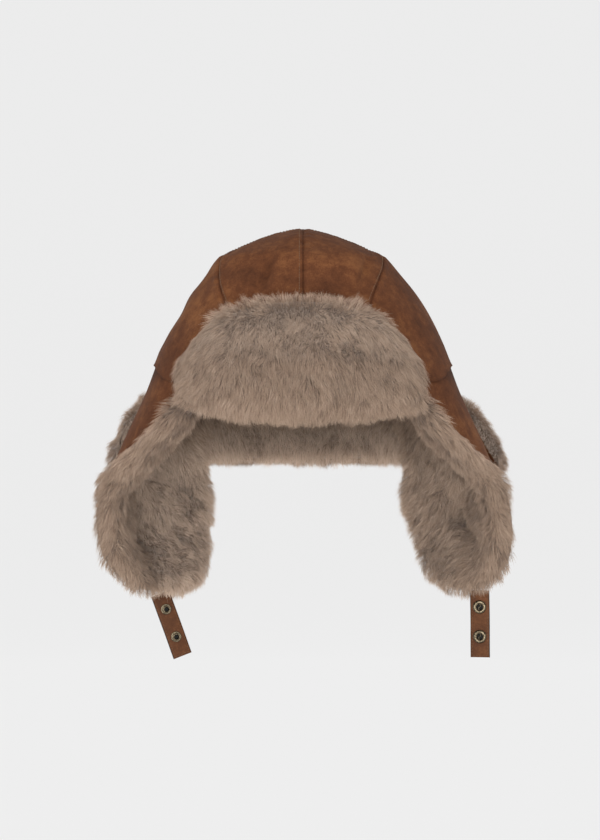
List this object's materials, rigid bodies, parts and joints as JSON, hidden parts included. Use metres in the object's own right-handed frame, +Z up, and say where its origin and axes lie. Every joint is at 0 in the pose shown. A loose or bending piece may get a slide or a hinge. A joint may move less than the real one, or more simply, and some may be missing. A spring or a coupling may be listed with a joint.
{
  "type": "trapper hat",
  "caption": "Leather-look trapper hat with a panelled crown, fur lining, turned-up front flap, rear fur cuff, folding ear flaps and snap chin straps.",
  "frame": {"origin": "middle of the head opening, level with the rear hem", "axes": "+Z up towards the crown, -Y out of the front of the hat, +X towards the wearer's left"},
  "size_m": [0.3054, 0.2518, 0.3196],
  "materials": {
    "leather": "brown nubuck-look leather, matt, softly mottled",
    "strap": "brown leather strap with dark painted edges",
    "fur": "taupe faux fur, dense soft pile",
    "wadding": "pale polyester wadding",
    "lining": "dark brown satin lining",
    "antique_brass": "antique brass snaps, darkened"
  },
  "bodies": {
    "hat": {"crown_front_left": "leather", "crown_front_right": "leather", "crown_side_left": "leather", "crown_side_right": "leather", "crown_back_left": "leather", "crown_back_right": "leather", "band_side_left": "leather", "band_side_right": "leather", "band_brow": "leather", "band_back": "leather", "rear_cuff_backing": "leather", "side_fur_left": "fur", "side_fur_right": "fur", "brow_fur": "fur", "back_fur": "fur", "rear_cuff_fur": "fur", "crown_wadding_front": "wadding", "crown_wadding_back": "wadding", "crown_lining_front": "lining", "crown_lining_back": "lining"},
    "front_flap": {"front_flap_backing": "leather", "front_flap_stiffener": "wadding", "front_flap_fur": "fur"},
    "ear_flap_left": {"ear_flap_leather_left": "leather", "ear_flap_wadding_left": "wadding", "ear_flap_fur_left": "fur"},
    "ear_flap_right": {"ear_flap_leather_right": "leather", "ear_flap_wadding_right": "wadding", "ear_flap_fur_right": "fur"},
    "chin_strap_left": {"chin_strap_left": "strap", "snap_socket_upper": "antique_brass", "snap_socket_lower": "antique_brass", "snap_socket_cap_upper": "antique_brass", "snap_socket_cap_lower": "antique_brass", "snap_spring_upper": "antique_brass", "snap_spring_lower": "antique_brass"},
    "chin_strap_right": {"chin_strap_right": "strap", "snap_stud_upper": "antique_brass", "snap_stud_lower": "antique_brass", "snap_stud_cap_upper": "antique_brass", "snap_stud_cap_lower": "antique_brass"}
  },
  "joints": [
    {"name": "front_flap_fold", "type": "hinge", "parent": "hat", "child": "front_flap", "pos_m": [0, -0.108, 0.031], "axis": [1, 0, 0], "range_deg": [0, 50]},
    {"name": "ear_flap_left_fold", "type": "hinge", "parent": "hat", "child": "ear_flap_left", "pos_m": [0.1385, 0.038, -0.0145], "axis": [0.5, -0.866, 0], "range_deg": [-10, 150]},
    {"name": "ear_flap_right_fold", "type": "hinge", "parent": "hat", "child": "ear_flap_right", "pos_m": [-0.1385, 0.038, -0.0145], "axis": [0.5, 0.866, 0], "range_deg": [-10, 150]},
    {"name": "chin_strap_left_swing", "type": "hinge", "parent": "ear_flap_left", "child": "chin_strap_left", "pos_m": [0.13177, 0.01122, -0.10077], "axis": [0.9703, -0.2419, 0.0087], "range_deg": [-50, 50]},
    {"name": "chin_strap_right_swing", "type": "hinge", "parent": "ear_flap_right", "child": "chin_strap_right", "pos_m": [-0.105, 0.01813, -0.1035], "axis": [0.9118, 0.2273, 0.342], "range_deg": [-50, 50]}
  ]
}
